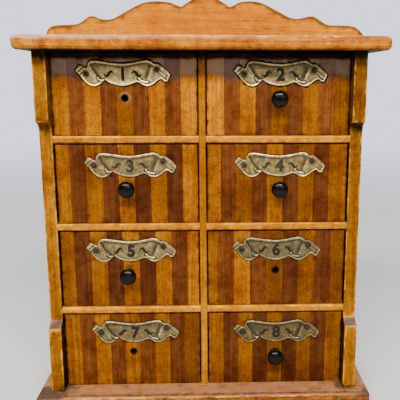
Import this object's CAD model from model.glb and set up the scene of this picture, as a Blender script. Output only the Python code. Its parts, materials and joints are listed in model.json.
# An old spice cabinet with eight drawers: striped fronts of two woods, stamped scroll plates,
# small black knobs and a sawn crest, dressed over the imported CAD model.

import json
import math

import bmesh
import bpy
import numpy as np
from mathutils import Matrix, Vector


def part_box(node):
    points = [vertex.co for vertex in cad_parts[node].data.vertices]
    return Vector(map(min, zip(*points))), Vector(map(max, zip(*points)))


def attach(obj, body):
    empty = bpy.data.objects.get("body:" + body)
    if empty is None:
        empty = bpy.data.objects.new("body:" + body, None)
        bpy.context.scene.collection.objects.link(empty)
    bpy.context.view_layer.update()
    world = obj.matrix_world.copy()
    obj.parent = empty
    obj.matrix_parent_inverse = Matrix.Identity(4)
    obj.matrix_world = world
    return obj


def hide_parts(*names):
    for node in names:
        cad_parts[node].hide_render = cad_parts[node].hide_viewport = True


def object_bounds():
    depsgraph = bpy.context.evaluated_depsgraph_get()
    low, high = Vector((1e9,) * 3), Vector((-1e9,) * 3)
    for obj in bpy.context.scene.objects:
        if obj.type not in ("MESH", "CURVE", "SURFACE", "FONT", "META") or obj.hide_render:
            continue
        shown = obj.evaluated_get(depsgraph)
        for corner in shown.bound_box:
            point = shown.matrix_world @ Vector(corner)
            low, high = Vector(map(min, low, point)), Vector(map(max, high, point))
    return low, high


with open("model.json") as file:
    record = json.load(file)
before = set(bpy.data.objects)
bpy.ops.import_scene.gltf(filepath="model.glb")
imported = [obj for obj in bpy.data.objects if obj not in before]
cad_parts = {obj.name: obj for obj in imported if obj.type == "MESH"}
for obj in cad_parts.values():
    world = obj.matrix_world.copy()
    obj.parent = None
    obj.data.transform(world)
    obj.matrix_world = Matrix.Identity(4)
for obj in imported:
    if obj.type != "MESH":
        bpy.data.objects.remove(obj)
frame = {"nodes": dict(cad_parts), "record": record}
cadLow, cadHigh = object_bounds()
nodes = frame["nodes"]
bodyOf = {n: body for body, names in frame["record"]["behaviour"]["bodies"].items() for n in names}
mm = 0.001
print("frame loaded:", len(nodes), "nodes")


# Camera and light

# The lens, place and turn that bring the front of the cabinet onto the photograph.
photoView = {
    "focalPixels": 647.9, "imagePixels": 400, "sensor": 36.0,
    "middle": (238.6, 217.3),
    "place": (7.48, -537.5, 267.8), "yaw": -2.174, "pitch": 12.167, "roll": 0.102,
}


def makeCamera(view):
    # forward = yaw turn of (0, cos pitch, -sin pitch); right and up complete it and lean by roll
    yaw, pitch, roll = (math.radians(view[k]) for k in ("yaw", "pitch", "roll"))
    turn = Matrix.Rotation(yaw, 3, "Z")
    forward = turn @ Vector((0, math.cos(pitch), -math.sin(pitch)))
    right = turn @ Vector((1, 0, 0))
    up = right.cross(forward)
    across = math.cos(roll) * right + math.sin(roll) * up
    above = math.cos(roll) * up - math.sin(roll) * right
    data = bpy.data.cameras.new("photoCamera")
    data.sensor_width = view["sensor"]
    data.lens = view["sensor"] * view["focalPixels"] / view["imagePixels"]
    data.shift_x = 0.5 - view["middle"][0] / view["imagePixels"]
    data.shift_y = view["middle"][1] / view["imagePixels"] - 0.5
    camera = bpy.data.objects.new("photoCamera", data)
    turned = Matrix((across, above, -forward)).transposed().to_4x4()
    camera.matrix_world = Matrix.Translation(Vector(view["place"]) * mm) @ turned
    bpy.context.scene.collection.objects.link(camera)
    bpy.context.scene.camera = camera


def linearColour(hexText):
    # sRGB to linear: c / 12.92 below 0.04045, else ((c + 0.055) / 1.055) ^ 2.4
    parts = [int(hexText[i:i + 2], 16) / 255 for i in (1, 3, 5)]
    return tuple(c / 12.92 if c <= 0.04045 else ((c + 0.055) / 1.055) ** 2.4 for c in parts) + (1.0,)


# A high lamp in front, wide but shallow as a window is, throws the sharp shadows under the top
# board and the shelves and none to the sides. The sky is dim in front and bright behind, as a
# pale wall would be.
studio = {
    "skyTint": "#E0E5F2", "skyFront": 0.15, "skyBehind": 1.9,
    "key": {"wide": 1900, "high": 240, "place": (-120, -1250, 1400), "aim": (0, 0, 170), "watts": 86,
            "tint": "#FFFAF2"},
    "fill": {"wide": 1500, "high": 500, "place": (250, -1500, 720), "aim": (0, 0, 170), "watts": 8,
             "tint": "#F2F6FF"},
    "floor": "#CFCECC", "floorPatch": "#C6C5C2", "floorReach": 5200, "floorClear": (350, 2300),
}


def makeLight(name, look):
    data = bpy.data.lights.new(name, "AREA")
    data.shape = "RECTANGLE"
    data.size = look["wide"] * mm
    data.size_y = look["high"] * mm
    data.energy = look["watts"]
    data.color = linearColour(look["tint"])[:3]
    light = bpy.data.objects.new(name, data)
    light.location = Vector(look["place"]) * mm
    light.rotation_mode = "QUATERNION"
    light.rotation_quaternion = (Vector(look["aim"]) * mm - light.location).to_track_quat("-Z", "Y")
    bpy.context.scene.collection.objects.link(light)


def addNode(tree, kind, *inputs, named=None, stops=None, output=0, **settings):
    # one shader node: its inputs, in order or by name, take values or other nodes' outputs
    made = tree.nodes.new("ShaderNode" + kind)
    for key, value in settings.items():
        setattr(made, key, value)
    for key, value in list(enumerate(inputs)) + list((named or {}).items()):
        if isinstance(value, bpy.types.NodeSocket):
            tree.links.new(value, made.inputs[key])
        elif value is not None:
            made.inputs[key].default_value = value
    if stops:
        ramp = made.color_ramp
        while len(ramp.elements) < len(stops):
            ramp.elements.new(0.5)
        for element, (position, shade) in zip(ramp.elements, stops):
            element.position = position
            element.color = shade if isinstance(shade, tuple) else (shade, shade, shade, 1)
    return made.outputs[output] if made.outputs else made


def makeSky(look):
    world = bpy.data.worlds.new("studioSky")
    world.use_nodes = True
    tree = world.node_tree
    ahead = addNode(tree, "SeparateXYZ", addNode(tree, "TexCoord"), output=1)
    strength = addNode(tree, "MapRange", ahead, -0.25, 0.6, look["skyFront"], look["skyBehind"],
                       interpolation_type="SMOOTHSTEP")
    background = tree.nodes["Background"]
    background.inputs["Color"].default_value = linearColour(look["skyTint"])
    tree.links.new(strength, background.inputs["Strength"])
    bpy.context.scene.world = world


makeCamera(photoView)
makeLight("keyLight", studio["key"])
makeLight("fillLight", studio["fill"])
makeSky(studio)
print("camera and light set")


# Materials

def startMaterial(name):
    material = bpy.data.materials.new(name)
    material.use_nodes = True
    tree = material.node_tree
    tree.nodes.clear()
    return material, tree


def finishMaterial(material, tree, inputs):
    shader = addNode(tree, "BsdfPrincipled", named=inputs)
    addNode(tree, "OutputMaterial", shader)
    return material


# Patterns that run with the grain, by width and length in mm. The fibres of the real woods are
# finer than a pixel, so they are drawn about 0.8 mm wide to show.
grainPatterns = {
    "fibre": {"wide": 0.8, "long": 26, "detail": 3.0, "from": 0.32, "to": 0.68},
    "band": {"wide": 3.2, "long": 150, "detail": 2.0, "from": 0.32, "to": 0.7},
    "pore": {"wide": 0.9, "long": 8, "detail": 1.0, "from": 0.64, "to": 0.7},
    "slow": {"wide": 12, "long": 330, "detail": 2.0, "from": 0.25, "to": 0.75},
}
# Patterns that lie over the whole piece the same way in all directions, by size in mm.
coverPatterns = {
    "cloud": {"size": 30, "detail": 4.0, "rough": 0.6, "from": 0.38, "to": 0.68},
    "mottle": {"size": 6, "detail": 3.0, "rough": 0.55, "from": 0.35, "to": 0.7},
    "patchy": {"size": 10, "detail": 3.0, "rough": 0.6, "from": 0.3, "to": 0.7},
    "stain": {"size": 15, "detail": 4.0, "rough": 0.65, "from": 0.54, "to": 0.7},
    "stipple": {"size": 2.0, "detail": 2.0, "rough": 0.6, "from": 0.44, "to": 0.66},
    "speck": {"size": 2.4, "detail": 2.0, "rough": 0.5, "from": 0.73, "to": 0.77},
}


def oldWood(name, look):
    # Hardwood under old shellac. Growth rings round a pith line give long figure, fibres give
    # fine streaks, and pores short dark dashes. Wear, grime, pinholes and dust lie on top.
    material, tree = startMaterial(name)
    grain = addNode(tree, "Attribute", output=1, attribute_name="grain")
    mask = {key: addNode(tree, "Attribute", output=2, attribute_name=key)
            for key in ("tone", "edge", "grime", "bleach", "endGrain")}
    place = addNode(tree, "TexCoord", output=3)

    for key, p in grainPatterns.items():
        across, along = 1 / (p["wide"] * mm), 1 / (p["long"] * mm)
        spot = addNode(tree, "VectorMath", grain, (across, across, along), operation="MULTIPLY")
        cloudy = addNode(tree, "TexNoise", named={"Vector": spot, "Scale": 1.0, "Detail": p["detail"]})
        mask[key] = addNode(tree, "MapRange", cloudy, p["from"], p["to"], interpolation_type="SMOOTHSTEP")
    for key, p in coverPatterns.items():
        cloudy = addNode(tree, "TexNoise", named={"Vector": place, "Scale": 1 / (p["size"] * mm),
                                                  "Detail": p["detail"], "Roughness": p["rough"]})
        mask[key] = addNode(tree, "MapRange", cloudy, p["from"], p["to"], interpolation_type="SMOOTHSTEP")

    # growth rings: distance from the pith, pushed about by a slow wave, in steps of one ring
    drift = addNode(tree, "VectorMath", grain, (30, 30, 5), operation="MULTIPLY")
    wave = addNode(tree, "TexNoise", named={"Vector": drift, "Scale": 1.0, "Detail": 2.0}, output=1)
    push = addNode(tree, "VectorMath", wave, (0.5, 0.5, 0.5), operation="SUBTRACT")
    push = addNode(tree, "VectorMath", push, named={3: look["waveMm"] * 2 * mm}, operation="SCALE")
    bent = addNode(tree, "VectorMath", grain, push, operation="ADD")
    flat = addNode(tree, "VectorMath", bent, (1, 1, 0), operation="MULTIPLY")
    reach = addNode(tree, "VectorMath", flat, output=1, operation="LENGTH")
    turns = addNode(tree, "Math", reach, look["ringMm"] * mm, operation="DIVIDE")
    ring = addNode(tree, "ValToRGB", addNode(tree, "Math", turns, operation="FRACT"),
                   stops=[(0.0, 0.0), (0.45, 0.2), (0.86, 1.0), (1.0, 0.0)])
    slow = addNode(tree, "MapRange", mask["slow"], 0.0, 1.0, 0.3, 1.0)
    mask["ring"] = addNode(tree, "Math", ring, slow, operation="MULTIPLY")

    # arrises rubbed through the finish, in a band that comes and goes
    rough = addNode(tree, "Math", mask["patchy"], look["wearMm"] * 1.6 * mm, operation="MULTIPLY")
    rubbed = addNode(tree, "Math", mask["edge"], rough, operation="ADD")
    mask["worn"] = addNode(tree, "MapRange", rubbed, 0.0, look["wearMm"] * 1.8 * mm, 1.0, 0.0,
                           interpolation_type="SMOOTHSTEP")
    # grime is thick where it is laid on and breaks up towards its border
    broken = addNode(tree, "Math", mask["mottle"], 0.35, mask["grime"], operation="MULTIPLY_ADD")
    mask["dirty"] = addNode(tree, "MapRange", broken, 0.3, 1.05, interpolation_type="SMOOTHSTEP")
    # dust lies on what faces up
    normal = addNode(tree, "NewGeometry", output=1)
    upward = addNode(tree, "SeparateXYZ", normal, output=2)
    upward = addNode(tree, "MapRange", upward, 0.55, 0.95, interpolation_type="SMOOTHSTEP")
    lying = addNode(tree, "MapRange", mask["patchy"], 0.0, 1.0, 0.45, 1.0)
    mask["dusty"] = addNode(tree, "Math", upward, lying, operation="MULTIPLY")

    wood = addNode(tree, "MixRGB", mask["tone"], linearColour(look["pale"]), linearColour(look["deep"]))
    for key in ("ring", "band", "fibre", "pore", "cloud", "mottle", "stain", "stipple"):
        depth = addNode(tree, "Math", mask[key], look[key + "Depth"], operation="MULTIPLY")
        wood = addNode(tree, "MixRGB", depth, wood, linearColour(look[key]), blend_type="MULTIPLY")
    # bloom breaks up towards its border
    broken = addNode(tree, "Math", mask["patchy"], 0.45, mask["bleach"], operation="MULTIPLY_ADD")
    mask["bleach"] = addNode(tree, "MapRange", broken, 0.45, 1.35, interpolation_type="SMOOTHSTEP")
    for key in ("endGrain", "worn", "bleach", "speck", "dusty", "dirty"):
        depth = addNode(tree, "Math", mask[key], look[key + "Depth"], operation="MULTIPLY")
        wood = addNode(tree, "MixRGB", depth, wood, linearColour(look[key]))

    height = 0.0
    for key, weight in (("fibre", -0.25), ("pore", -0.5), ("ring", -0.3), ("speck", -1.2), ("mottle", 0.5)):
        height = addNode(tree, "Math", mask[key], weight, height, operation="MULTIPLY_ADD")
    bump = addNode(tree, "Bump", named={"Strength": look["bump"], "Distance": 0.12 * mm, "Height": height})
    rough = look["rough"]
    for key, weight in (("fibre", 0.08), ("mottle", 0.06), ("worn", 0.1), ("dirty", 0.2), ("dusty", 0.3)):
        rough = addNode(tree, "Math", mask[key], weight, rough, operation="MULTIPLY_ADD")
    return finishMaterial(material, tree, {
        "Base Color": wood, "Roughness": rough, "Normal": bump, "IOR": 1.5,
        "Specular IOR Level": look["specular"], "Coat Weight": look["coat"], "Coat Roughness": 0.2})


# What the woods share: two ends of the board-to-board colour, tints that the figure multiplies
# by, and how deep each goes. Each finish below names only what differs.
woodLook = {
    "pale": "#A86C00", "deep": "#8C5000", "ring": "#A87848", "ringDepth": 0.45, "band": "#B08450",
    "bandDepth": 0.5, "fibre": "#A88458", "fibreDepth": 0.3, "pore": "#5A3A20", "poreDepth": 0.4,
    "cloud": "#B88C60", "cloudDepth": 0.6, "mottle": "#C09870", "mottleDepth": 0.6,
    "stain": "#9A5A30", "stainDepth": 0.4, "stipple": "#B0743C", "stippleDepth": 0.4,
    "endGrain": "#4A2A10", "endGrainDepth": 0.6, "worn": "#D89038", "wornDepth": 0.5,
    "bleach": "#8A7A6C", "bleachDepth": 0.0, "dirty": "#0A0603", "dirtyDepth": 0.95,
    "speck": "#120903", "speckDepth": 0.7, "dusty": "#6A5E54", "dustyDepth": 0.2,
    "ringMm": 2.2, "waveMm": 3.0, "wearMm": 1.2, "bump": 0.35, "rough": 0.38, "specular": 0.1,
    "coat": 0.0,
}
finishes = {
    # ash strips under amber shellac: warm gold to orange, with open straight grain
    "shellacAsh": {"pale": "#C88200", "deep": "#724500", "wornDepth": 0.2, "bleachDepth": 0.75,
                   "ringDepth": 0.25, "bandDepth": 0.45, "fibreDepth": 0.22, "mottleDepth": 0.4,
                   "stainDepth": 0.25, "bleach": "#78685A", "specular": 0.05},
    # walnut strips under amber shellac: red brown to purple brown, with fine dark pores
    "shellacWalnut": {"pale": "#7A481C", "deep": "#462411", "worn": "#8A4E2A", "wornDepth": 0.2,
                      "bleach": "#6A564E", "bleachDepth": 0.7, "stainDepth": 0.2,
                      "bandDepth": 0.4, "stippleDepth": 0.2, "specular": 0.05},
    # side boards: the same ash, orange where the shellac is thick
    "shellacSideBoard": {"pale": "#B07A00", "deep": "#6E4600", "ringMm": 2.6, "ringDepth": 0.3,
                         "cloudDepth": 0.48, "mottleDepth": 0.42, "fibreDepth": 0.2, "dustyDepth": 0.9, "dusty": "#504E55",
                         "worn": "#F4A420", "wornDepth": 0.6, "specular": 0.06},
    # shelf edges and the upright, rubbed bright by the drawers and hands
    "rubbedShelf": {"pale": "#E09A00", "deep": "#A06800", "worn": "#FFB414", "wornDepth": 0.6,
                    "fibreDepth": 0.2, "ringDepth": 0.25, "speckDepth": 0.6, "cloudDepth": 0.4,
                    "mottleDepth": 0.4, "stainDepth": 0.2, "stippleDepth": 0.3, "specular": 0.02},
    # top board, scratched and rubbed along its front edge
    "scratchedTop": {"pale": "#EEA400", "deep": "#D48A00", "worn": "#F2C08C", "wearMm": 2.6,
                     "wornDepth": 0.8, "bleach": "#B89890", "bleachDepth": 0.7,
                     "dustyDepth": 0.3, "dusty": "#8A745A", "rough": 0.34,
                     "ringDepth": 0.3, "stippleDepth": 0.25, "specular": 0.08},
    # crest: orange shellac, satin, lying grain, brown with handling along the sawn outline
    "satinCrest": {"pale": "#E69500", "deep": "#C77500", "dirty": "#3A2416", "dirtyDepth": 0.7,
                   "wornDepth": 0.0, "ringMm": 3.4, "ringDepth": 0.15, "bandDepth": 0.3,
                   "fibreDepth": 0.3, "stainDepth": 0.08, "cloudDepth": 0.3, "mottleDepth": 0.28,
                   "stippleDepth": 0.12, "specular": 0.02},
    # base board, where dust and spills have dulled the finish
    "dustyBase": {"pale": "#B67C10", "deep": "#9C6606", "worn": "#F0B468", "wornDepth": 0.75,
                  "dustyDepth": 0.62, "dusty": "#B07C5C", "rough": 0.5, "wearMm": 0.9,
                  "stain": "#7A4630", "stainDepth": 0.7, "fibreDepth": 0.5, "dirty": "#2E2C28",
                  "dirtyDepth": 0.8},
    # back board: bare wood gone brown
    "bareBack": {"pale": "#74502C", "deep": "#5E3C1E", "rough": 0.7, "worn": "#84643A",
                 "ringMm": 4.0, "dustyDepth": 0.3},
    # drawer sides and backs: bare planed wood, lighter inside
    "bareBox": {"pale": "#A8804C", "deep": "#94703C", "rough": 0.65, "worn": "#C09C6C",
                "endGrain": "#6A4826"},
    # drawer bottoms: thin bare boards, a little greyer
    "bareBottom": {"pale": "#9C784A", "deep": "#88643A", "rough": 0.68, "worn": "#B09060",
                   "ringMm": 3.2},
}
woods = {name: oldWood(name, {**woodLook, **changes}) for name, changes in finishes.items()}
print("woods mixed:", len(woods))


# Boards

def joinedCopy(node):
    # a copy of a CAD node's mesh, its loose triangles merged and each flat face made whole
    work = bmesh.new()
    work.from_mesh(nodes[node].data)
    bmesh.ops.remove_doubles(work, verts=work.verts, dist=0.002 * mm)
    bmesh.ops.dissolve_limit(work, angle_limit=math.radians(0.4), verts=work.verts, edges=work.edges)
    return work


def islandsOf(count, edges):
    # a number for each loose part: every vertex takes the lowest number that its edges reach
    label = np.arange(count)
    while True:
        lower = label.copy()
        np.minimum.at(lower, edges[:, 0], label[edges[:, 1]])
        np.minimum.at(lower, edges[:, 1], label[edges[:, 0]])
        lower = lower[lower]
        if np.array_equal(lower, label):
            return np.unique(label, return_inverse=True)[1]
        label = lower


def distanceToLines(points, starts, ends):
    # least distance from each point to any line a-b: |p - a - t(b - a)|, t held within 0..1
    if len(starts) == 0:
        return np.full(len(points), 1.0)
    least = []
    step = ends - starts
    size = np.maximum((step ** 2).sum(1), 1e-14)
    for chunk in np.array_split(points, max(1, len(points) * len(starts) // 400000)):
        away = chunk[:, None, :] - starts[None]
        t = np.clip((away * step[None]).sum(2) / size, 0, 1)
        least.append(np.sqrt(((away - t[..., None] * step[None]) ** 2).sum(2)).min(1))
    return np.concatenate(least)


def ease(t):
    # 0 below 0, 1 above 1, and 3t² - 2t³ between
    held = np.clip(t, 0, 1)
    return held * held * (3 - 2 * held)


def ridge(distance, width):
    # a soft ridge: e^-(d/w)²
    return np.exp(-(distance / width) ** 2)


def meshArrays(mesh):
    points = np.empty(len(mesh.vertices) * 3, np.float32)
    mesh.vertices.foreach_get("co", points)
    edges = np.empty(len(mesh.edges) * 2, np.int32)
    mesh.edges.foreach_get("vertices", edges)
    return points.reshape(-1, 3).astype(float), edges.reshape(-1, 2)


def writeAttribute(mesh, name, values, kind="FLOAT", domain="POINT"):
    layer = mesh.attributes.new(name, kind, domain)
    layer.data.foreach_set("vector" if kind == "FLOAT_VECTOR" else "value",
                           np.ascontiguousarray(values, np.float32).ravel())


def layGrain(points, islands, along, seed, pithMm, tilt):
    # p - middle, turned so that z runs along the grain and a little askew, then moved off the pith
    draw = np.random.default_rng(seed)
    out = np.empty_like(points)
    order = {"x": (1, 2, 0), "y": (2, 0, 1), "z": (0, 1, 2)}[along]
    for k in range(islands.max() + 1):
        mine = islands == k
        local = points[mine][:, order] - points[mine][:, order].mean(0)
        turn, lean, side = draw.uniform(pithMm[2], pithMm[3]), draw.normal(0, tilt), draw.normal(0, tilt)
        c, s = math.cos(turn), math.sin(turn)
        x = local[:, 0] + lean * local[:, 2]
        y = local[:, 1] + side * local[:, 2]
        out[mine, 0] = c * x - s * y + draw.uniform(pithMm[0], pithMm[1]) * mm
        out[mine, 1] = s * x + c * y + draw.uniform(-8, 8) * mm
        out[mine, 2] = local[:, 2] + draw.uniform(-3, 3)
    return out


def evenCuts(low, high, spacingMm, extra=()):
    # planes at even steps along each axis, close pairs just inside the ends, and extra ones
    lines = []
    for axis in range(3):
        span = high[axis] - low[axis]
        count = int(span / (spacingMm * mm))
        cuts = list(low[axis] + span * np.arange(1, count) / max(count, 1))
        if span > 9 * mm:
            cuts += [low[axis] + mm, low[axis] + 3 * mm, high[axis] - mm, high[axis] - 3 * mm]
        cuts += [place for which, place in extra if which == axis]
        lines.append(sorted(set(np.round(cuts, 6))))
    return lines


def cutLines(work, cuts):
    for axis, places in enumerate(cuts):
        normal = [0.0, 0.0, 0.0]
        normal[axis] = 1.0
        for place in places:
            spot = [0.0, 0.0, 0.0]
            spot[axis] = float(place)
            bmesh.ops.bisect_plane(work, geom=work.verts[:] + work.edges[:] + work.faces[:], dist=1e-6,
                                   plane_co=spot, plane_no=normal)


def placePiece(mesh, node, replaces=True):
    piece = bpy.data.objects.new(mesh.name, mesh)
    bpy.context.scene.collection.objects.link(piece)
    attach(piece, bodyOf[node])
    if replaces:
        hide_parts(node)
    return piece


def nothing(points):
    return np.zeros(len(points))


def dressBoard(node, wood, along, tone=(0.5, 0.5), bevelMm=0.35, sharp=None, spacingMm=9,
               extraCuts=(), tilt=0.012, pith=(40, 90, 0.3, 1.2), dirtAt=nothing, bleachAt=nothing,
               toneAt=nothing, edgeAt=None, shortest=0.6, rimDirt=0.0):
    # one wooden piece over its CAD node: eased arrises, grain laid along it, and worn edges
    work = joinedCopy(node)
    low, high = (np.array(c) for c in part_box(node))
    chosen = []
    for e in work.edges:
        isCorner = len(e.link_faces) == 2 and e.calc_face_angle() > math.radians(28)
        if isCorner and e.calc_length() > shortest * mm:
            if sharp is None or sharp(np.array(e.verts[0].co), np.array(e.verts[1].co), low, high):
                chosen.append(e)
    starts = np.array([e.verts[0].co[:] for e in chosen]).reshape(-1, 3)
    ends = np.array([e.verts[1].co[:] for e in chosen]).reshape(-1, 3)
    if bevelMm and chosen:
        bmesh.ops.bevel(work, geom=chosen, offset=bevelMm * mm, offset_type="OFFSET", segments=3,
                        profile=0.6, affect="EDGES", clamp_overlap=False)
    cutLines(work, evenCuts(low, high, spacingMm, extraCuts))
    mesh = bpy.data.meshes.new(node + "_dressed")
    work.to_mesh(mesh)
    work.free()
    if "custom_normal" in mesh.attributes:
        mesh.attributes.remove(mesh.attributes["custom_normal"])
    points, edges = meshArrays(mesh)
    islands = islandsOf(len(points), edges)
    seed = sum(ord(c) * (i + 1) for i, c in enumerate(node))
    draw = np.random.default_rng(seed + 7)
    writeAttribute(mesh, "grain", layGrain(points, islands, along, seed, pith, tilt), "FLOAT_VECTOR")
    shades = tone[0] + tone[1] * draw.uniform(-1, 1, islands.max() + 1)
    writeAttribute(mesh, "tone", np.clip(shades[islands] + toneAt(points), 0, 1))
    fromEdge = edgeAt(points, low, high) if edgeAt else distanceToLines(points, starts, ends)
    writeAttribute(mesh, "edge", fromEdge)
    writeAttribute(mesh, "grime", dirtAt(points) + rimDirt * np.exp(-fromEdge / (2 * mm)))
    writeAttribute(mesh, "bleach", bleachAt(points))
    normals = np.empty(len(mesh.polygons) * 3, np.float32)
    mesh.polygons.foreach_get("normal", normals)
    facing = np.abs(normals.reshape(-1, 3)[:, "xyz".index(along)]) > 0.8
    writeAttribute(mesh, "endGrain", facing.astype(float), "FLOAT", "FACE")
    mesh.polygons.foreach_set("use_smooth", np.ones(len(mesh.polygons), bool))
    mesh.set_sharp_from_angle(angle=math.radians(50))
    mesh.materials.append(woods[wood])
    return placePiece(mesh, node)


# How far down from the top board's underside, and up from the base, grime has gathered, and how
# far below the side boards' upper shoulder the middle of the dark hollow lies, and how high it is.
gathered = {"underTop": 11.0, "onBase": 5.0, "shoulder": 58.0, "inHollow": 5.5}
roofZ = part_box("top_board")[0].z
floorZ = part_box("base_board")[1].z
innerX = (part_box("case_side_left")[1].x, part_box("case_side_right")[0].x)
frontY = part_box("case_side_right")[0].y


def caseDirt(points):
    # 1 at the underside of the top board, and fading down and out; a little on the base; in the
    # hollow under each shoulder; and all over the hidden faces beside the drawers, less so high up
    under = 1.3 * ease(1 - (roofZ - points[:, 2]) / (gathered["underTop"] * mm))
    low = 0.8 * (1 - (points[:, 2] - floorZ) / (gathered["onBase"] * mm))
    inside = (points[:, 0] > innerX[0] - 0.2 * mm) & (points[:, 0] < innerX[1] + 0.2 * mm)
    down = (roofZ - points[:, 2]) / mm
    behind = (0.32 + 0.48 * ease((down - gathered["shoulder"]) / 8)) * inside
    behind = behind * ease((points[:, 1] - frontY) / (3 * mm))
    hollow = np.where(points[:, 0] > 0, 0.74, 0.55) * ridge(down - gathered["shoulder"], gathered["inHollow"])
    return np.clip(np.max([under, low, behind, hollow], axis=0), 0, 1)


def dividerDirt(points):
    # on both side faces, behind the rubbed front edge
    front = points[:, 1].min()
    under = 1.25 * (1 - (roofZ - points[:, 2]) / (gathered["underTop"] * mm))
    return np.clip(np.maximum(under, 0.8 * ease((points[:, 1] - front - 2 * mm) / (2 * mm))), 0, 1)


def topWear(points, low, high):
    # distance from the line along the front of the upper face
    return np.hypot(points[:, 1] - low[1] - 3.2 * mm, points[:, 2] - high[2])


def topHaze(points):
    # a grey haze along the rounding of the front's upper edge, fading from left to right
    away = np.hypot(points[:, 1] - cadLow[1] - 1.8 * mm, points[:, 2] - roofZ - 10 * mm) / mm
    return ridge(away, 3.4) * np.interp(points[:, 0], (cadLow[0], -0.04, cadHigh[0]), (1.2, 0.7, 0.2))


def frontArris(points, low, high):
    # distance from the upper front arris
    return np.hypot(points[:, 1] - low[1] - 0.4 * mm, points[:, 2] - high[2] + 0.2 * mm)


def railDirt(points):
    # the lower arris of a shelf's front edge
    front, low = points[:, 1].min(), points[:, 2].min()
    return 0.55 * np.exp(-np.hypot(points[:, 1] - front, points[:, 2] - low) / (1.6 * mm))


def dirtUnderTop(points):
    # the underside, but not the nose that hands rub clean, and the end grain at both ends
    under = ease(1 - (points[:, 2] - roofZ) / (2.5 * mm))
    fromEnd = np.minimum(points[:, 0] - cadLow[0], cadHigh[0] - points[:, 0])
    ends = 0.5 * np.exp(-fromEnd / (2.5 * mm))
    return np.maximum(under * ease((points[:, 1] - cadLow[1]) / (4 * mm)), ends)


# How deep the shellac is on each side board, as (height in mm, 0 pale to 1 deep).
sideTone = {
    "left": [(11, 0.5), (75, 0.5), (110, 0.15), (215, 0.15), (240, 0.5), (288, 0.55)],
    "right": [(11, 0.12), (70, 0.12), (110, 0.5), (210, 0.55), (240, 0.9), (288, 0.95)],
}


def baseDirt(points):
    # dark along the feet of the side boards and under the drawers
    rows = []
    for side in ("left", "right"):
        low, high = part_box(f"case_side_{side}")
        gapX = np.maximum(np.maximum(low.x - points[:, 0], points[:, 0] - high.x), 0)
        gapY = np.maximum(low.y - points[:, 1], 0)
        reach = np.where(np.abs(points[:, 0]) < -innerX[0], 11, 3) * mm
        rows.append(0.95 * np.exp(-np.hypot(gapX, gapY) / reach))
    # a dark line behind the front arris in a broad soft band, and both front corners, the left
    # one all over
    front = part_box("base_board")[0]
    rows.append(0.85 * ridge((points[:, 1] - front.y) / mm - 4.8, 1.8))
    rows.append((0.26 + 0.14 * np.cos(points[:, 0] / (19 * mm))) * ridge((points[:, 1] - front.y) / mm - 4, 5))
    corner = np.minimum(points[:, 0] - front.x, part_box("base_board")[1].x - points[:, 0])
    away = np.hypot(corner, points[:, 1] - front.y) / mm
    rows.append(np.where(points[:, 0] < 0, 1.3 * ease((32 - away) / 20), np.exp(-away / 16)))
    return np.where(points[:, 2] > floorZ - 1.3 * mm, np.max(rows, axis=0), 0.42)


for side, depths in sideTone.items():
    heights, shade = np.array(depths).T
    dressBoard(f"case_side_{side}", "shellacSideBoard", "z", tone=(0, 0), pith=(50, 80, 0.4, 0.9),
               dirtAt=caseDirt, toneAt=lambda points: np.interp(points[:, 2], heights * mm, shade))
dressBoard("top_board", "scratchedTop", "x", bevelMm=0, pith=(40, 60, 0.2, 0.5), spacingMm=6,
           dirtAt=dirtUnderTop, edgeAt=topWear, bleachAt=topHaze)
dressBoard("base_board", "dustyBase", "x", bevelMm=0, pith=(40, 60, 0.2, 0.5), spacingMm=4,
           extraCuts=[(1, cadLow[1] + out * mm) for out in (3.8, 5, 6.3, 7.6, 8.8)], dirtAt=baseDirt,
           edgeAt=frontArris)
dressBoard("back_board", "bareBack", "z", pith=(60, 90, 1.2, 1.5))
dressBoard("divider", "rubbedShelf", "z", tone=(0, 0), bevelMm=0, dirtAt=dividerDirt,
           toneAt=lambda points: np.interp(points[:, 2], (30 * mm, 280 * mm), (0.5, 1.35)))
dressBoard("crest", "satinCrest", "x", tone=(0.15, 0), pith=(30, 50, 1.3, 1.6), spacingMm=4, rimDirt=1.3,
           toneAt=lambda points: 0.6 * ridge(points[:, 0], 70 * mm))
# How deep the shellac is on each shelf edge, 0 pale to 1 deep, from the top down.
for side, shades in {"left": (0.36, 0.2, 0.0), "right": (0.1, 0.18, 0.32)}.items():
    for row, shade in enumerate(shades, 1):
        dressBoard(f"{side}_shelf_{row}", "rubbedShelf", "x", tone=(shade, 0), bevelMm=0,
                   dirtAt=railDirt, edgeAt=frontArris)
print("case dressed")


# Name plates: a stamped scroll with a raised panel, a rolled upper edge and curled tails

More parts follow.
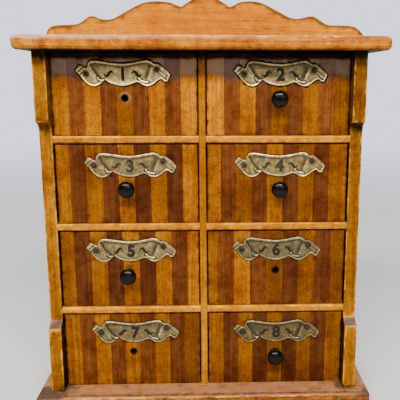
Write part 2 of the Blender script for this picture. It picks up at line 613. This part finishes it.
# The outline and the forms on it are drawn in mm for a plate 71 mm long, about its middle.
plate = {
    "top": [(-32.4, 5.9), (-29.6, 4.9), (-27.2, 3.6), (-26.1, 5), (-25.4, 7.4), (-23.5, 9.2),
            (-19.8, 9.5), (-13.3, 8.6), (-6.9, 7.6), (0, 7.2), (6.9, 7.9), (12.8, 9.1), (17.8, 9.9),
            (21, 9), (23.3, 7.3), (26.2, 6.9), (29.6, 4.7), (32.6, 2.2), (35.7, -1.1)],
    "bottom": [(-35.3, 1.9), (-32.1, -1.7), (-29.1, -5.7), (-25.9, -8.7), (-22.2, -10), (-18.8, -9.5),
               (-15.8, -7.6), (-13.7, -5.4), (-9.9, -7.4), (-4.9, -9), (0, -9.5), (4.4, -8.9),
               (8.4, -7.4), (10.9, -6.9), (15.3, -9.2), (19.3, -9.9), (23.2, -8), (26.4, -5.4),
               (28.8, -4.7), (30.4, -6.2), (33.2, -6.3)],
    "leftFold": [(-26.3, 6.0), (-25.6, 3.4), (-23.8, 0.8), (-21.6, -1.6), (-19.4, -3.6), (-17.4, -4.6),
                 (-15.2, -5.2)],
    "rightFold": [(23.0, 7.3), (21.2, 4.6), (19.9, 1.2), (18.6, -2.2), (17.0, -4.8), (14.6, -6.2),
                  (11.2, -6.9)],
    "lips": [[(-18.7, -3.2), (-17.9, -4.6), (-16.4, -5.5), (-14.2, -5.8)],
             [(11.8, -4.0), (13.2, -5.5), (15.4, -6.4), (18.2, -6.7)]],
    "crease": [(20.8, 4.6), (19.7, 1.7), (18.8, -0.7), (18.1, -2.6), (17.4, -4.6)],
    "leftTurn": [(-25.2, 6.4), (-23.6, 3.0), (-21.6, 0.2), (-19.8, -2.4), (-18.4, -4.4)],
    "pins": [(-27.4, -0.7), (25.2, 2.5)],
    "sheet": 0.5, "panel": 0.45, "dish": 0.6, "roll": 0.5, "bead": 0.34, "lip": 0.42, "turn": 0.2,
    "gridAlong": 190, "gridAcross": 52, "numberMm": 12.8, "bold": 0.56, "paint": 0.06,
    "stroke": {"from": 6.6, "long": 7.4, "swing": 1.7, "thin": 0.5, "thick": 2.3, "steps": 28},
    "waxMm": 0.7, "waxHigh": 0.16,
    # age, gilding left, and grease under the upper edge, up to 1, plate by plate
    "wear": [(-0.3, 0.42, 0.3), (0.1, 0.3, 0.25), (0.18, 0.25, 0.0), (0.1, 0.3, 0.0),
             (0.18, 0.2, 0.0), (0.5, 0.0, 0.0), (0.35, 0.1, 0.0), (0.65, 0.3, 0.0)],
}


def smoothLine(points, count):
    # Catmull-Rom through the points, (2b + (c-a)t + (2a-5b+4c-d)t² + (3b-a-3c+d)t³) / 2, then
    # count places at even steps along its length
    p = np.array(points, float)
    ends = np.vstack([p[:1], p, p[-1:]])
    a, b, c, d = ends[:-3, None], ends[1:-2, None], ends[2:-1, None], ends[3:, None]
    t = np.linspace(0, 1, 12, endpoint=False)[None, :, None]
    square = 2 * a - 5 * b + 4 * c - d
    dense = 0.5 * (2 * b + (c - a) * t + square * t ** 2 + (3 * b - a - 3 * c + d) * t ** 3)
    dense = np.vstack([dense.reshape(-1, p.shape[1]), p[-1:]])
    run = np.append(0, np.cumsum(np.linalg.norm(np.diff(dense, axis=0), axis=1)))
    at = np.linspace(0, run[-1], count)
    return np.stack([np.interp(at, run, dense[:, k]) for k in range(p.shape[1])], 1)


def underTurns(flat, look):
    # deep beside the two lines where the scroll turns under, e^-(d/3)² towards the middle, and 0
    # beyond them
    x, y = flat[:, 0], flat[:, 1]
    left, right = np.array(look["leftTurn"]), np.array(look["crease"])
    fromLeft = x - np.interp(y, left[::-1, 1], left[::-1, 0])
    fromRight = np.interp(y, right[::-1, 1], right[::-1, 0]) - x
    level = ease((y + 5.5) / 2) * ease((7 - y) / 2)
    return level * (ridge(fromLeft, 3.6) * ease(fromLeft / 1.6) + 0.8 * ridge(fromRight, 3) * ease(fromRight / 1.4))


def plateRelief(flat, look, rim):
    # sheet + raised panel, dished between its edges, + a roll along its upper edge + a bead inside
    # the lower rim + ridges where the lower corners turn under - the turns, crease and pin seats
    x, y = flat[:, 0], flat[:, 1]
    left, right = (smoothLine(look[k], 60) for k in ("leftFold", "rightFold"))
    fromLeft = x - np.interp(y, left[::-1, 1], left[::-1, 0])
    fromRight = np.interp(y, right[::-1, 1], right[::-1, 0]) - x
    panel = ease(fromLeft / 2.6 + 0.5) * ease(fromRight / 2.6 + 0.5)
    top = np.array(look["top"])
    down = np.interp(x, top[:, 0], top[:, 1]) - y
    span = ease((x + 27) / 3) * ease((26 - x) / 4)
    high = look["sheet"] + look["panel"] * panel - 0.35 * ridge(rim, 0.35)
    high = high - look["dish"] * panel * np.clip(1 - ((y + 0.5) / 9) ** 2, 0, 1)
    high = high + look["roll"] * ridge(down - 1.1, 0.95) * span
    curl = ease(-(y + 1) / 3) * (1 - ease((x + 15) / 2) * ease((12 - x) / 2))
    high = high + look["bead"] * (0.25 + 0.75 * curl) * ridge(rim - 0.8, 0.55) * ease((down - 1.5) / 2)
    for points in look["lips"]:
        line = smoothLine(points, 40)
        away = distanceToLines(flat, line[:-1], line[1:])
        high = high + look["lip"] * ridge(away, 0.55) - 0.15 * ridge(away - 1.2, 0.45)
    line = smoothLine(look["crease"], 40)
    high = high - 0.16 * ridge(distanceToLines(flat, line[:-1], line[1:]), 0.6)
    high = high - look["turn"] * underTurns(flat, look)
    for pinX, pinY in look["pins"]:
        high = high - 0.2 * ridge(np.hypot(x - pinX, y - pinY), 1.8)
    # shallow flutes along the two tails
    flute = 0.07 * np.cos(1.9 * (y + 0.85 * np.abs(x) - 24)) * (1 - panel) * ease((np.abs(x) - 26) / 4)
    return np.clip(high + flute, 0.1, 1.6)


def gridFaces(along, across, start=0, flip=False):
    # quads (i, j) (i+1, j) (i+1, j+1) (i, j+1) of a grid whose point number is i * across + j
    i, j = np.meshgrid(np.arange(along - 1), np.arange(across - 1), indexing="ij")
    first = start + (i * across + j).ravel()
    quads = np.stack([first, first + across, first + across + 1, first + 1], 1)
    return quads[:, ::-1] if flip else quads


def makePlate(node, number, look):
    # plate point (u, v) = lower edge(u) + v (upper edge(u) - lower edge(u)), raised by the relief
    low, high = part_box(node)
    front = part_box(node.replace("_label", "_light_strips"))[0].y
    along, across = look["gridAlong"], look["gridAcross"]
    upper, lower = smoothLine(look["top"], along), smoothLine(look["bottom"], along)
    v = np.linspace(0, 1, across)[None, :, None]
    flat = (lower[:, None] + v * (upper - lower)[:, None]).reshape(-1, 2)
    loop = np.vstack([lower, upper[::-1]])
    rim = distanceToLines(flat, loop, np.roll(loop, -1, 0))
    relief = plateRelief(flat, look, rim)
    size = (high.x - low.x) / np.ptp(loop[:, 0])
    middle = np.array([low.x - loop[:, 0].min() * size, low.z - loop[:, 1].min() * size])

    def onPlate(points, outMm):
        # from the drawing to the drawer's front: x stays, y goes up, and height comes forward
        across, up = middle[0] + points[:, 0] * size, middle[1] + points[:, 1] * size
        return np.stack([across, front - outMm * mm, up], 1)

    count = along * across
    index = np.arange(count).reshape(along, across)
    round_ = np.concatenate([index[:, 0], index[-1, 1:], index[-2::-1, -1], index[0, -2:0:-1]])
    nextOne = np.roll(round_, -1)
    sides = np.stack([round_, round_ + count, nextOne + count, nextOne], 1)
    faces = np.vstack([gridFaces(along, across), gridFaces(along, across, count, True), sides])
    mesh = bpy.data.meshes.new(node + "_plate")
    mesh.from_pydata(np.vstack([onPlate(flat, relief), onPlate(flat, np.zeros(count))]).tolist(), [],
                     faces.tolist())
    soft = relief.reshape(along, across)
    for _ in range(16):
        wide = np.pad(soft, 1, "edge")
        soft = (soft + wide[2:, 1:-1] + wide[:-2, 1:-1] + wide[1:-1, 2:] + wide[1:-1, :-2]) / 5
    age, gilt, grease = look["wear"][number - 1]
    hollow = ease((soft.ravel() - relief) / 0.26 + 0.3) + 0.3 * underTurns(flat, look)
    for pin in look["pins"]:
        hollow = hollow + 0.9 * ridge(np.hypot(*(flat - pin).T), 2.3)
    hollow = np.clip(hollow + grease * ease((flat[:, 1] - 1) / 7), 0, 1)
    writeAttribute(mesh, "hollow", np.concatenate([hollow, np.ones(count)]))
    writeAttribute(mesh, "age", np.full(2 * count, age))
    writeAttribute(mesh, "gilt", np.full(2 * count, gilt))
    mesh.polygons.foreach_set("use_smooth", np.ones(len(mesh.polygons), bool))
    mesh.set_sharp_from_angle(angle=math.radians(60))
    mesh.materials.append(metals["stampedBrass"])
    placePiece(mesh, node)
    makeNumber(node, number, look, onPlate)
    makeWax(node, loop, look, onPlate, 1.0 if number < 3 else 0.3)
    makePins(node, look, onPlate)


def strokePoints(look, side):
    # a pen stroke: (from + long t, swing sin 2πt), its width swelling as sin πt; left and right
    # edge of its face, then the same two edges underneath
    t = np.linspace(0, 1, look["steps"])
    line = np.stack([look["from"] + look["long"] * t, look["swing"] * np.sin(2 * math.pi * t)], 1)
    ahead = np.gradient(line, axis=0)
    aside = np.stack([-ahead[:, 1], ahead[:, 0]], 1) / np.linalg.norm(ahead, axis=1)[:, None]
    half = (look["thin"] + (look["thick"] - look["thin"]) * np.sin(math.pi * t))[:, None] / 2
    flat = np.stack([line + aside * half, line - aside * half, line - aside * half, line + aside * half], 1)
    flat[..., 0] *= side
    faces = [[k * 4 + c, k * 4 + (c + 1) % 4, k * 4 + 4 + (c + 1) % 4, k * 4 + 4 + c]
             for k in range(look["steps"] - 1) for c in range(4)]
    last = (look["steps"] - 1) * 4
    faces += [[3, 2, 1, 0], [last, last + 1, last + 2, last + 3]]
    if side < 0:
        faces = [face[::-1] for face in faces]
    level = np.tile([1.0, 1.0, -1.0, -1.0], look["steps"])
    return np.column_stack([flat.reshape(-1, 2), level]), faces


def makeNumber(node, number, look, onPlate):
    # a painted number between two swelling strokes, laid over the panel's relief
    text = bpy.data.curves.new(node + "_number", "FONT")
    text.body = str(number)
    text.size = look["numberMm"]
    text.offset = look["bold"]
    text.extrude = 0.5
    text.resolution_u = 3
    text.align_x = "CENTER"
    drawn = bpy.data.objects.new(node + "_number", text)
    bpy.context.scene.collection.objects.link(drawn)
    shaped = bpy.data.meshes.new_from_object(drawn.evaluated_get(bpy.context.evaluated_depsgraph_get()))
    bpy.data.objects.remove(drawn)
    points = meshArrays(shaped)[0]
    faces = [list(polygon.vertices) for polygon in shaped.polygons]
    points[:, 1] -= 0.36 * look["numberMm"]
    for side in (-1, 1):
        strokes, more = strokePoints(look["stroke"], side)
        faces += [[k + len(points) for k in face] for face in more]
        points = np.vstack([points, strokes])
    flat = points[:, :2] - [0, 0.6]
    relief = plateRelief(flat, look, np.full(len(flat), 5.0))
    out = np.where(points[:, 2] > 0, relief + look["paint"], relief - look["paint"])
    mesh = bpy.data.meshes.new(node + "_number")
    mesh.from_pydata(onPlate(flat, out).tolist(), [], faces)
    mesh.materials.append(metals["wornPaint" if number in (3, 4) else "blackPaint"])
    placePiece(mesh, node, replaces=False)


def makeWax(node, loop, look, onPlate, share):
    # a fillet of old wax and dust round an outline: four points of a low section carried round it
    draw = np.random.default_rng(sum(map(ord, node)))
    count = len(loop)
    ahead = np.roll(loop, -1, 0) - np.roll(loop, 1, 0)
    outward = np.stack([ahead[:, 1], -ahead[:, 0]], 1) / np.linalg.norm(ahead, axis=1)[:, None]
    turns = np.linspace(0, 2 * math.pi, count, endpoint=False)
    wave = sum(draw.normal(0, 0.16) * np.cos(k * turns + draw.uniform(0, 6)) for k in (3, 7, 13, 22, 31))
    reach = share * look["waxMm"] * np.clip(1 + wave, 0.3, 1.6)
    section = [(np.full(count, -0.5), 0.0), (np.full(count, -0.3), look["waxHigh"]),
               (0.35 * reach, 0.8 * look["waxHigh"]), (reach, 0.0)]
    rings = [onPlate(loop + outward * offset[:, None], np.full(count, high)) for offset, high in section]
    points = np.stack(rings, 1).reshape(-1, 3)
    i, j = np.meshgrid(np.arange(count), np.arange(4), indexing="ij")
    after, above = (i + 1) % count, (j + 1) % 4
    faces = np.stack([i * 4 + j, i * 4 + above, after * 4 + above, after * 4 + j], -1).reshape(-1, 4)
    mesh = bpy.data.meshes.new(node + "_wax")
    mesh.from_pydata(points.tolist(), [], faces.tolist())
    mesh.polygons.foreach_set("use_smooth", np.ones(len(mesh.polygons), bool))
    mesh.materials.append(metals["oldWax"])
    placePiece(mesh, node, replaces=False)


def turnedMesh(name, profile, places, around):
    # each ring (r cos a, out, r sin a) about each place; both ends of the profile are on the axis
    turns = np.linspace(0, 2 * math.pi, around, endpoint=False)
    points, faces = [], []
    for place in places:
        start = sum(map(len, points))
        inner = profile[1:-1]
        out = place[1] - inner[:, 1:] * mm + 0 * turns
        rings = np.stack([place[0] + inner[:, :1] * mm * np.cos(turns), out,
                          place[2] + inner[:, :1] * mm * np.sin(turns)], -1)
        poles = [[place[0], place[1] - profile[k, 1] * mm, place[2]] for k in (0, -1)]
        points.append(np.vstack([rings.reshape(-1, 3), poles]))
        count = len(inner) * around
        j = np.arange(around)
        after = (j + 1) % around
        for k in range(len(inner) - 1):
            faces += (start + np.stack([k * around + j, (k + 1) * around + j, (k + 1) * around + after,
                                        k * around + after], 1)).tolist()
        last = (len(inner) - 1) * around
        faces += (start + np.stack([np.full(around, count), j, after], 1)).tolist()
        faces += (start + np.stack([np.full(around, count + 1), last + after, last + j], 1)).tolist()
    mesh = bpy.data.meshes.new(name)
    mesh.from_pydata(np.vstack(points).tolist(), [], faces)
    mesh.polygons.foreach_set("use_smooth", np.ones(len(mesh.polygons), bool))
    mesh.set_sharp_from_angle(angle=math.radians(50))
    return mesh


# A label pin: shank, then a low domed head, as (radius, height over the front) in mm.
pinProfile = [(0, -3.9), (0.58, -3.9), (0.6, 0.5), (1.36, 0.52), (1.4, 0.8), (1.15, 1.2),
              (0.6, 1.48), (0, 1.56)]


def makePins(node, look, onPlate):
    places = onPlate(np.array(look["pins"]), np.zeros(2))
    mesh = turnedMesh(node + "_pins", np.array(pinProfile), places, 24)
    mesh.materials.append(metals["darkIron"])
    placePiece(mesh, node)


def stampedBrass():
    # Plated brass sheet, stamped and worn: silver grey where the gilding has gone, gold where it
    # is left, olive brown tarnish in the hollows, and a broken satin shine.
    material, tree = startMaterial("stampedBrass")
    hollow, age, gilt = (addNode(tree, "Attribute", output=2, attribute_name=key)
                         for key in ("hollow", "age", "gilt"))
    place = addNode(tree, "TexCoord", output=3)
    blotch = addNode(tree, "TexNoise", named={"Vector": place, "Scale": 1 / (3 * mm), "Detail": 4.0})
    broad = addNode(tree, "TexNoise", named={"Vector": place, "Scale": 1 / (9 * mm), "Detail": 3.0})
    fine = addNode(tree, "TexNoise", named={"Vector": place, "Scale": 1 / (0.7 * mm), "Detail": 2.0})
    aged = addNode(tree, "Math", blotch, 0.8, hollow, operation="MULTIPLY_ADD")
    aged = addNode(tree, "Math", age, 0.4, aged, operation="MULTIPLY_ADD")
    tarnish = addNode(tree, "MapRange", aged, 0.32, 1.3)
    metal = addNode(tree, "ValToRGB", tarnish, stops=[
        (0.0, linearColour("#F4ECC8")), (0.2, linearColour("#B6A880")), (0.42, linearColour("#7C6E48")),
        (0.7, linearColour("#4C4020")), (1.0, linearColour("#1E180A"))])
    left = addNode(tree, "Math", addNode(tree, "Math", gilt, broad, operation="ADD"), 0.2,
                   operation="SUBTRACT")
    left = addNode(tree, "MapRange", left, 0.25, 1.0, interpolation_type="SMOOTHSTEP")
    tint = addNode(tree, "MixRGB", left, linearColour("#DADBD2"), linearColour("#F8D68C"))
    metal = addNode(tree, "MixRGB", 0.9, metal, tint, blend_type="MULTIPLY")
    metallic = addNode(tree, "MapRange", tarnish, 0.2, 0.8, 0.9, 0.35)
    rough = addNode(tree, "MapRange", tarnish, 0.0, 1.0, 0.34, 0.6)
    bump = addNode(tree, "Bump", named={"Strength": 0.35, "Distance": 0.05 * mm, "Height": fine})
    return finishMaterial(material, tree, {"Base Color": metal, "Metallic": metallic, "Roughness": rough,
                                           "Normal": bump})


def plainFinish(name, dark, light, sizeMm, rough, inputs):
    # a dark finish that is a little uneven: two shades and two degrees of gloss by one noise
    material, tree = startMaterial(name)
    place = addNode(tree, "TexCoord", output=3)
    uneven = addNode(tree, "TexNoise", named={"Vector": place, "Scale": 1 / (sizeMm * mm), "Detail": 4.0})
    patch = addNode(tree, "MapRange", uneven, 0.35, 0.7, interpolation_type="SMOOTHSTEP")
    shade = addNode(tree, "MixRGB", patch, linearColour(dark), linearColour(light))
    gloss = addNode(tree, "MapRange", patch, 0.0, 1.0, rough[0], rough[1])
    bump = addNode(tree, "Bump", named={"Strength": 0.3, "Distance": 0.05 * mm, "Height": uneven})
    return finishMaterial(material, tree, {"Base Color": shade, "Roughness": gloss, "Normal": bump, **inputs})


metals = {
    "stampedBrass": stampedBrass(),
    # number paint: dull black, a little brown where it has worn
    "blackPaint": plainFinish("blackPaint", "#0E0A07", "#241B12", 1.2, (0.5, 0.7), {"Specular IOR Level": 0.2}),
    # number paint that has worn thin, so that the tarnished brass shows through
    "wornPaint": plainFinish("wornPaint", "#17110A", "#3A3222", 1.6, (0.5, 0.7), {"Specular IOR Level": 0.2}),
    # wax and dust packed against an edge: brown black and dull
    "oldWax": plainFinish("oldWax", "#0C0704", "#1C1108", 1.5, (0.75, 0.9), {"Specular IOR Level": 0.1}),
    # pins and nails: iron gone dark brown, rough
    "darkIron": plainFinish("darkIron", "#241C16", "#4A3626", 1.0, (0.4, 0.7), {"Metallic": 0.7}),
    # knobs: turned wood under glossy black lacquer, crazed a little and rubbed brown
    "blackLacquer": plainFinish("blackLacquer", "#040404", "#0B0806", 2.5, (0.17, 0.32),
                                {"Specular IOR Level": 0.16}),
}

drawers = [(side, row) for row in (1, 2, 3, 4) for side in ("left", "right")]
for number, (side, row) in enumerate(drawers, 1):
    makePlate(f"{side}_drawer_{row}_label", number, plate)
nails = nodes["case_nails"].data
nails.materials.clear()
nails.materials.append(metals["darkIron"])
print("plates, numbers and pins made")


# Knobs

# Half section of a knob with its tenon, as (radius, height over the front) in mm.
knob = {
    "profile": [(0, -8.4), (2.15, -8.4), (2.2, 0), (4.38, 0.0), (4.44, 0.9), (3.95, 1.6), (3.2, 2.3),
                (3.0, 3.6), (3.5, 5.2), (5.05, 6.7), (6.35, 7.8), (6.7, 8.8), (6.56, 9.9), (5.8, 11.2),
                (4.5, 12.2), (2.85, 12.8), (1.3, 12.97), (0, 13.0)],
    "around": 72,
}


def makeKnob(node, look):
    low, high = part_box(node)
    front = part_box(node.replace("_knob", "_light_strips"))[0].y
    centre = ((low.x + high.x) / 2, front, (low.z + high.z) / 2)
    profile = np.array(look["profile"], float)
    upper = smoothLine(profile[3:], 60)
    profile = np.vstack([profile[:3], upper])
    profile[-1, 0] = 0
    mesh = turnedMesh(node + "_turned", profile, [centre], look["around"])
    mesh.materials.append(metals["blackLacquer"])
    placePiece(mesh, node)


# Drawers

def drawerMarks(stem):
    # where a front has its hole and plate: (hole x, hole z, plate low corner, plate high corner)
    low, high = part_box(f"{stem}_label")
    knobNode = f"{stem}_knob"
    if knobNode in nodes:
        a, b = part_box(knobNode)
        return ((a.x + b.x) / 2, (a.z + b.z) / 2), (low, high), True
    # a bare hole: its rim is the ring of CAD points nearest to the plate's middle, below it
    points = meshArrays(nodes[f"{stem}_light_strips"].data)[0]
    front = points[:, 1].min()
    below = points[(points[:, 1] < front + 0.01 * mm) & (points[:, 2] < low.z - 4 * mm)]
    near = np.abs(below[:, 0] - (low.x + high.x) / 2) < 12 * mm
    inner = below[near & (below[:, 2] > points[:, 2].min() + 5 * mm)]
    hole = (inner.max(0) + inner.min(0)) / 2
    return (hole[0], hole[2]), (low, high), False


def frontOutline(a, b, low, high):
    # the front's outline: both ends on the front plane, and the line along its top or bottom
    onFront = max(abs(a[1] - low[1]), abs(b[1] - low[1])) < 0.01 * mm
    return onFront and abs(a[2] - b[2]) < 0.01 * mm and abs(a[0] - b[0]) > 5 * mm


def stripSeams(node):
    # left and right edge of each strip, from the loose parts of the CAD mesh
    work = joinedCopy(node)
    mesh = bpy.data.meshes.new("strips")
    work.to_mesh(mesh)
    work.free()
    points, edges = meshArrays(mesh)
    islands = islandsOf(len(points), edges)
    bpy.data.meshes.remove(mesh)
    return sorted(f(points[islands == k, 0]) for k in range(islands.max() + 1) for f in (np.min, np.max))


# How deep the shellac is on each strip of a front, from left to right, 0 pale to 9 deep, with the
# top row first.
stripTone = {
    "left": ["514384402", "657556664", "857656544", "625362749"],
    "right": ["114484708", "638466847", "714396859", "757687968"],
}


def dressFront(stem, node, wood, row, tones):
    (holeX, holeZ), (plateLow, plateHigh), hasKnob = drawerMarks(stem)
    seams = np.array(stripSeams(node))
    low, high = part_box(f"{stem}_light_strips")
    plateMiddle, plateHalf = (plateLow + plateHigh) / 2, (plateHigh - plateLow) / 2

    def dirt(points):
        # seams, the rim of the front, a halo round the knob or bare hole and round the plate, and
        # the top board's shade
        x, z = points[:, 0], points[:, 2]
        seam = 0.4 * (1 - np.abs(x[:, None] - seams[None]).min(1) / (0.45 * mm))
        rim = 0.5 * np.exp(-np.minimum(z - low.z, high.z - z) / (1.1 * mm))
        foot = 0.42 * np.exp(-(z - low.z) / (4 * mm))
        ends = 0.6 * np.exp(-np.minimum(x - low.x, high.x - x) / (1.2 * mm))
        away = np.hypot(x - holeX, z - holeZ) / mm
        halo = 0.55 * np.exp(-np.maximum(away - 4.6, 0) / 1.8) if hasKnob else ease((4.1 - away) / 1.6)
        gapX = np.maximum(np.abs(x - plateMiddle.x) - plateHalf.x + 3 * mm, 0)
        gapZ = np.maximum(np.abs(z - plateMiddle.z) - plateHalf.z + 2 * mm, 0)
        plateHalo = 0.35 * np.exp(-np.hypot(gapX, gapZ) / (2.5 * mm))
        shade = 1.1 * ease((7.5 - (roofZ - z) / mm) / 3.5) if row == 1 else 0 * away
        return np.clip(np.max([seam, rim, foot, ends, halo, plateHalo, shade], axis=0), 0, 1)

    def bleach(points):
        # the pale ring that a lost knob's foot left, and a grey bloom under the top board
        away = np.hypot(points[:, 0] - holeX, points[:, 2] - holeZ) / mm
        ring = ease((away - 1.8) / 0.8) * ease(((7.5 if row == 1 else 5) - away) / 4)
        ring = 0.62 * ring * (not hasKnob)
        down = (roofZ - points[:, 2]) / mm
        bloom = ease((down - 4) / 3) * ease((28 - down) / 15) if row == 1 else 0 * away
        return np.maximum(ring, bloom)

    def depth(points):
        # the tone of the strip that each point is on
        strip = np.searchsorted(seams[::2] - 0.01 * mm, points[:, 0], "right") - 1
        return np.array([int(c) / 9 for c in tones])[np.clip(strip, 0, len(tones) - 1)]

    extra = [(0, s + side * 0.45 * mm) for s in seams for side in (-1, 1)]
    if not hasKnob:
        extra += [(0, holeX + d * mm) for d in np.arange(-7, 7.5, 1)]
        extra += [(2, holeZ + d * mm) for d in np.arange(-7, 7.5, 1)]
    dressBoard(node, wood, "z", tone=(0, 0), bevelMm=0.3, sharp=frontOutline, spacingMm=3,
               extraCuts=extra, dirtAt=dirt, bleachAt=bleach, toneAt=depth)


for side, row in drawers:
    stem = f"{side}_drawer_{row}"
    tones = stripTone[side][row - 1]
    dressFront(stem, f"{stem}_light_strips", "shellacAsh", row, tones[0::2])
    dressFront(stem, f"{stem}_dark_strips", "shellacWalnut", row, tones[1::2])
    dressBoard(f"{stem}_box", "bareBox", "z", bevelMm=0.2)
    dressBoard(f"{stem}_bottom", "bareBottom", "x", bevelMm=0.15)
    if f"{stem}_knob" in nodes:
        makeKnob(f"{stem}_knob", knob)
print("drawers dressed")


# Floor

def makeFloor(look):
    reach = look["floorReach"] * mm
    mesh = bpy.data.meshes.new("paleFloor")
    turns = np.linspace(0, 2 * math.pi, 97)[:-1]
    rim = np.stack([reach * np.cos(turns), reach * np.sin(turns), np.zeros(96)], 1)
    mesh.from_pydata(rim.tolist(), [], [list(range(96))])
    material, tree = startMaterial("paleFloorPaint")
    place = addNode(tree, "TexCoord", output=3)
    soft = addNode(tree, "TexNoise", named={"Vector": place, "Scale": 3.0, "Detail": 2.0})
    shade = addNode(tree, "MixRGB", soft, linearColour(look["floor"]), linearColour(look["floorPatch"]))
    paint = addNode(tree, "BsdfPrincipled", named={"Base Color": shade, "Roughness": 0.6})
    # it fades out towards the wall, so that no line shows between them
    away = addNode(tree, "VectorMath", place, output=1, operation="LENGTH")
    clear = addNode(tree, "MapRange", away, look["floorClear"][0] * mm, look["floorClear"][1] * mm,
                    interpolation_type="SMOOTHSTEP")
    faded = addNode(tree, "MixShader", clear, paint, addNode(tree, "BsdfTransparent"))
    addNode(tree, "OutputMaterial", faded)
    mesh.materials.append(material)
    floor = bpy.data.objects.new("paleFloor", mesh)
    bpy.context.scene.collection.objects.link(floor)


makeFloor(studio)

print("sizes written")
